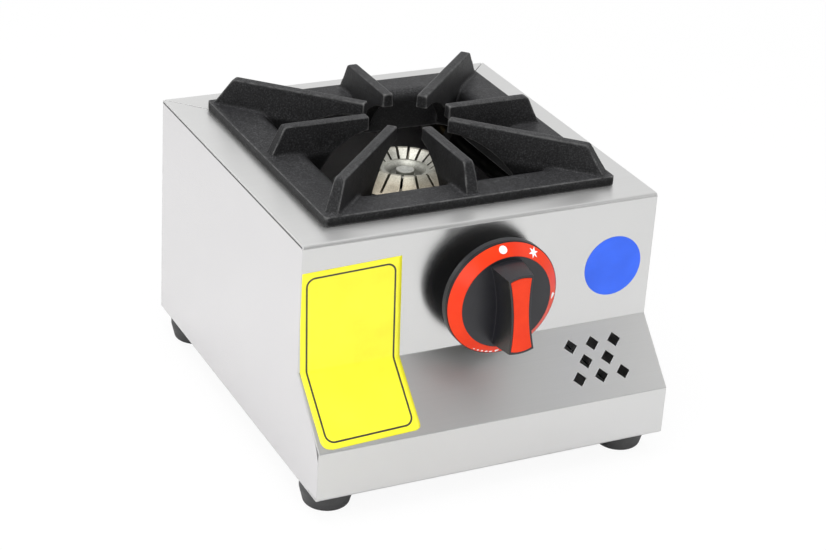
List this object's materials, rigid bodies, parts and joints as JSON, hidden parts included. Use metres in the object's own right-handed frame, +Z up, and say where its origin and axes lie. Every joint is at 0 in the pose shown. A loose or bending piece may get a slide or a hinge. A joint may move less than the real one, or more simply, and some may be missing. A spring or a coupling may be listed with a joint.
{
  "type": "single burner gas stove",
  "caption": "Countertop gas stove: folded steel casing on rubber feet, cast pan support with radial ribs over a slotted burner, and a push and turn front knob.",
  "frame": {"origin": "middle of the bounding box's bottom, on the plane that the feet stand on", "axes": "+X to the right as the cook sees it, +Y to the back, +Z up"},
  "size_m": [0.22, 0.282, 0.1777],
  "materials": {
    "casing_steel": "brushed",
    "foot_rubber": "matte",
    "fastener_steel": "zinc plated",
    "black_cast_iron": "black, grainy",
    "cast_aluminium": "machined casting",
    "valve_brass": "machined",
    "pipe_steel": "drawn",
    "black_plastic": "satin",
    "orange_plastic": "satin"
  },
  "bodies": {
    "casing": {"front_panel": "casing_steel", "left_side_panel": "casing_steel", "right_side_panel": "casing_steel", "rear_panel": "casing_steel", "base_plate": "casing_steel", "burner_bridge": "casing_steel", "foot_front_left": "foot_rubber", "foot_front_right": "foot_rubber", "foot_rear_left": "foot_rubber", "foot_rear_right": "foot_rubber", "foot_bolts": "fastener_steel", "foot_nuts": "fastener_steel", "burner_bolts": "fastener_steel", "valve_bolts": "fastener_steel", "valve_lock_nut": "fastener_steel", "nipple_lock_nut": "fastener_steel", "union_nuts": "fastener_steel", "burner_body": "black_cast_iron", "valve_bonnet": "valve_brass", "valve_body": "valve_brass", "injector": "valve_brass", "hose_nipple": "valve_brass", "inlet_pipe": "pipe_steel"},
    "plug": {"valve_plug": "valve_brass"},
    "knob": {"knob_body": "black_plastic", "knob_ring": "orange_plastic", "knob_insert": "orange_plastic", "valve_spindle": "valve_brass"},
    "pan": {"pan_support": "black_cast_iron"},
    "cap": {"burner_cap": "cast_aluminium"},
    "shutter": {"air_shutter": "pipe_steel"}
  },
  "joints": [
    {"name": "knob_turn", "type": "hinge", "parent": "casing", "child": "plug", "pos_m": [0.004, -0.10195, 0.1133], "axis": [0, -1, 0], "range_deg": [-5, 180]},
    {"name": "knob_push", "type": "slide", "parent": "plug", "child": "knob", "axis": [0, 1, 0], "range_m": [0, 0.003], "stiffness_N_per_m": 2500, "springref_m": -0.002},
    {"name": "pan_support_lift", "type": "slide", "parent": "casing", "child": "pan", "axis": [0, 0, 1], "range_m": [0, 0.06]},
    {"name": "burner_cap_lift", "type": "slide", "parent": "casing", "child": "cap", "axis": [0, 0, 1], "range_m": [0, 0.024]},
    {"name": "air_shutter_turn", "type": "hinge", "parent": "casing", "child": "shutter", "pos_m": [0.004, -0.04295, 0.1133], "axis": [0, 1, 0], "range_deg": [0, 90]}
  ]
}
